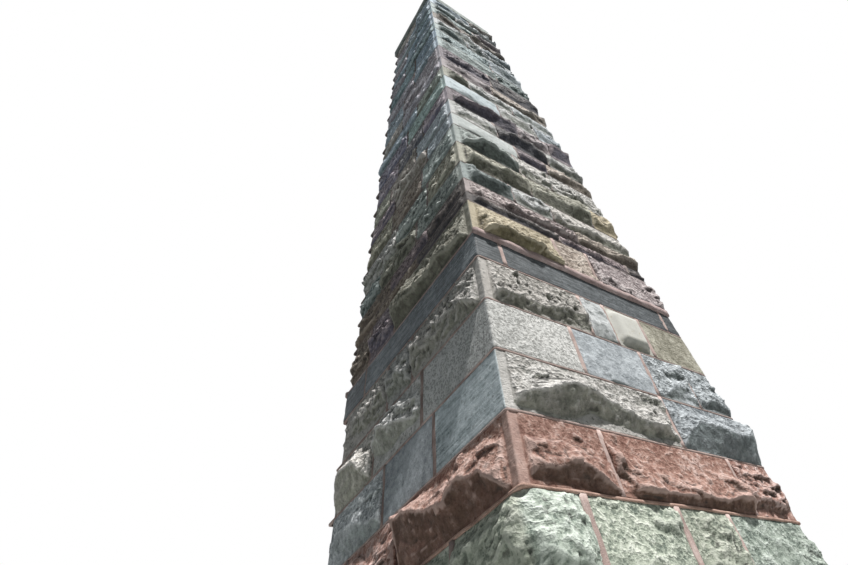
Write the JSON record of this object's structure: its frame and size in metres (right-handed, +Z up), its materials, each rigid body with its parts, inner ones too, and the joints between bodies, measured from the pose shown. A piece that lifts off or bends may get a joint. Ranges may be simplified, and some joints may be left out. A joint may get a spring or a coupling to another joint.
{
  "type": "masonry obelisk",
  "caption": "Tall tapered square obelisk of coursed rock-faced stones in many colours, with drafted corners, mortar joints, a footing and a low pyramid capstone.",
  "frame": {"origin": "centre of the footing on the ground", "axes": "+Z up along the shaft, -Y out of the front face, +X out of the right face"},
  "size_m": [2.52, 2.52, 9.685],
  "materials": {
    "grey_green_stone": "rock-faced quarry stone",
    "buff_stone": "rock-faced quarry stone",
    "green_stone_low": "rock-faced quarry stone",
    "brown_grey_stone": "rock-faced quarry stone",
    "blue_green_stone": "rock-faced quarry stone",
    "pale_green_stone": "rock-faced quarry stone",
    "red_sandstone": "rock-faced quarry stone",
    "white_grey_stone": "rock-faced quarry stone",
    "speckled_granite": "sawn and tooled stone",
    "mottled_grey_stone": "rock-faced quarry stone",
    "dark_slate": "sawn and tooled stone",
    "yellow_sandstone": "rock-faced quarry stone",
    "dark_brown_stone": "rock-faced quarry stone",
    "purple_pink_stone": "rock-faced quarry stone",
    "pale_grey_stone": "rock-faced quarry stone",
    "olive_buff_stone": "rock-faced quarry stone",
    "grey_green_sandstone": "rock-faced quarry stone",
    "white_marble": "sawn and tooled stone",
    "brown_pink_stone": "rock-faced quarry stone",
    "dark_purple_stone": "rock-faced quarry stone",
    "pale_green_marble": "sawn and tooled stone",
    "beige_stone": "rock-faced quarry stone",
    "pink_beige_stone": "rock-faced quarry stone",
    "purple_dark_stone": "rock-faced quarry stone",
    "green_grey_stone": "rock-faced quarry stone",
    "green_grey_stone_upper": "rock-faced quarry stone",
    "brown_stone": "rock-faced quarry stone",
    "beige_brown_stone": "rock-faced quarry stone",
    "dark_grey_stone": "rock-faced quarry stone",
    "light_grey_stone": "rock-faced quarry stone",
    "warm_brown_stone": "rock-faced quarry stone",
    "grey_stone": "rock-faced quarry stone",
    "mortar": "red-brown lime mortar with a raised ribbon joint",
    "footing_stone": "dressed stone",
    "cap_stone": "dressed stone"
  },
  "bodies": {
    "root": {"footing": "footing_stone", "course_01": "grey_green_stone", "course_02": "buff_stone", "course_03": "green_stone_low", "course_04": "brown_grey_stone", "course_05": "blue_green_stone", "course_06": "pale_green_stone", "course_07": "red_sandstone", "course_08": "white_grey_stone", "course_09": "speckled_granite", "course_10": "mottled_grey_stone", "course_11": "dark_slate", "course_12": "yellow_sandstone", "course_13": "dark_brown_stone", "course_14": "purple_pink_stone", "course_15": "pale_grey_stone", "course_16": "olive_buff_stone", "course_17": "grey_green_sandstone", "course_18": "white_marble", "course_19": "brown_pink_stone", "course_20": "dark_purple_stone", "course_21": "pale_green_marble", "course_22": "beige_stone", "course_23": "pink_beige_stone", "course_24": "purple_dark_stone", "course_25": "green_grey_stone", "course_26": "green_grey_stone_upper", "course_27": "brown_stone", "course_28": "beige_brown_stone", "course_29": "dark_grey_stone", "course_30": "light_grey_stone", "course_31": "warm_brown_stone", "course_32": "grey_stone", "mortar_base": "mortar", "mortar_lower": "mortar", "mortar_middle": "mortar", "mortar_upper": "mortar", "capstone": "cap_stone"}
  },
  "joints": []
}
